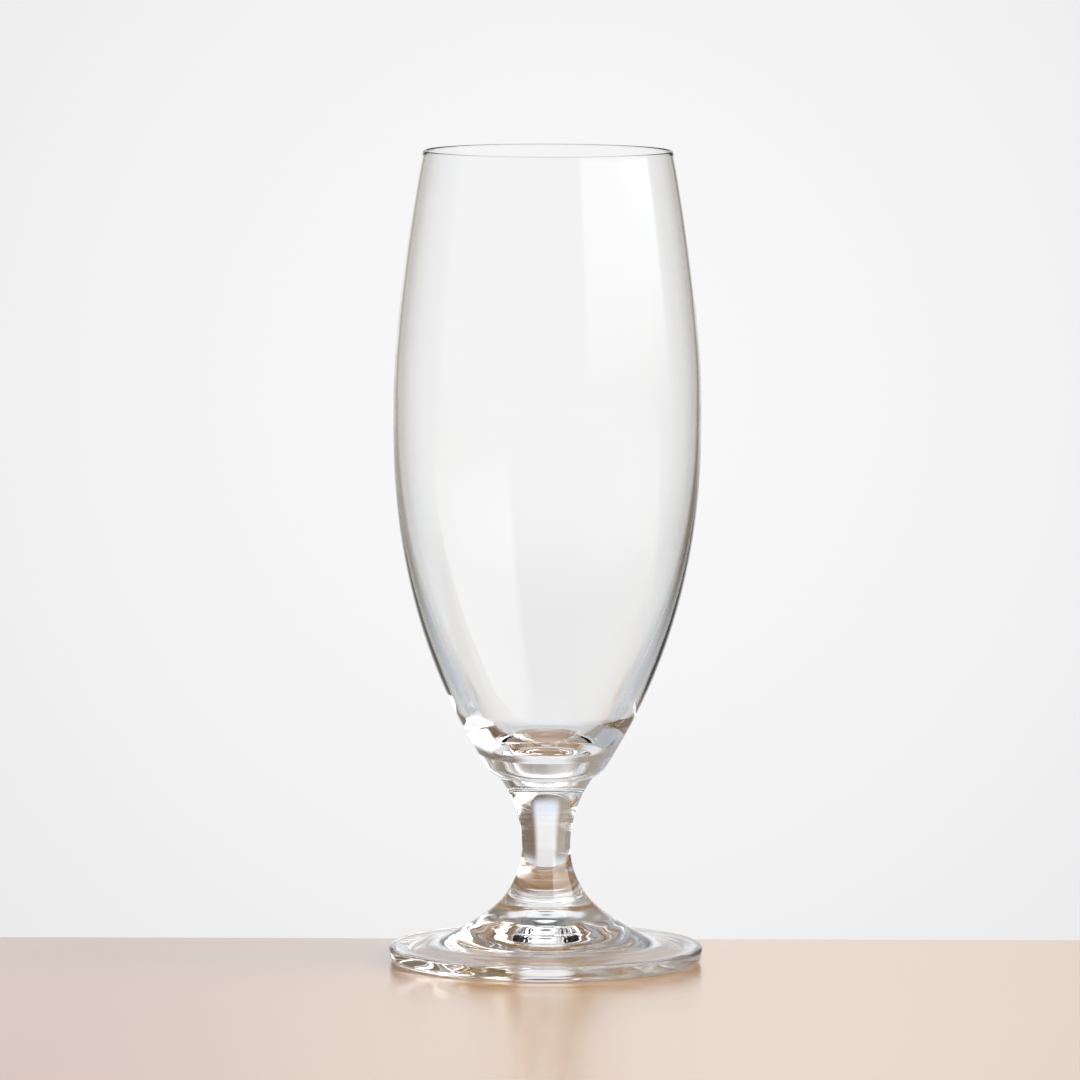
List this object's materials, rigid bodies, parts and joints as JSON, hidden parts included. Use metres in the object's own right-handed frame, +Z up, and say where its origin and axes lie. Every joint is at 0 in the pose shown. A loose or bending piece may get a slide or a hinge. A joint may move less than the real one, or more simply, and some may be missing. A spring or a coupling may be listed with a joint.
{
  "type": "stemmed drinking glass",
  "caption": "Clear stemmed glass for long drinks: tall tulip bowl with a heavy base, short drawn-in stem and round foot.",
  "frame": {"origin": "centre of the foot's resting ring, on the table", "axes": "+Z up along the axis of the glass, from the foot to the mouth"},
  "size_m": [0.0774, 0.0774, 0.2],
  "materials": {
    "bowl_glass": "clear blown glass, fire-polished rim",
    "stem_glass": "clear solid glass, smooth",
    "foot_glass": "clear solid glass, faint tooling rings"
  },
  "bodies": {
    "root": {"bowl": "bowl_glass", "stem": "stem_glass", "foot": "foot_glass"}
  },
  "joints": []
}
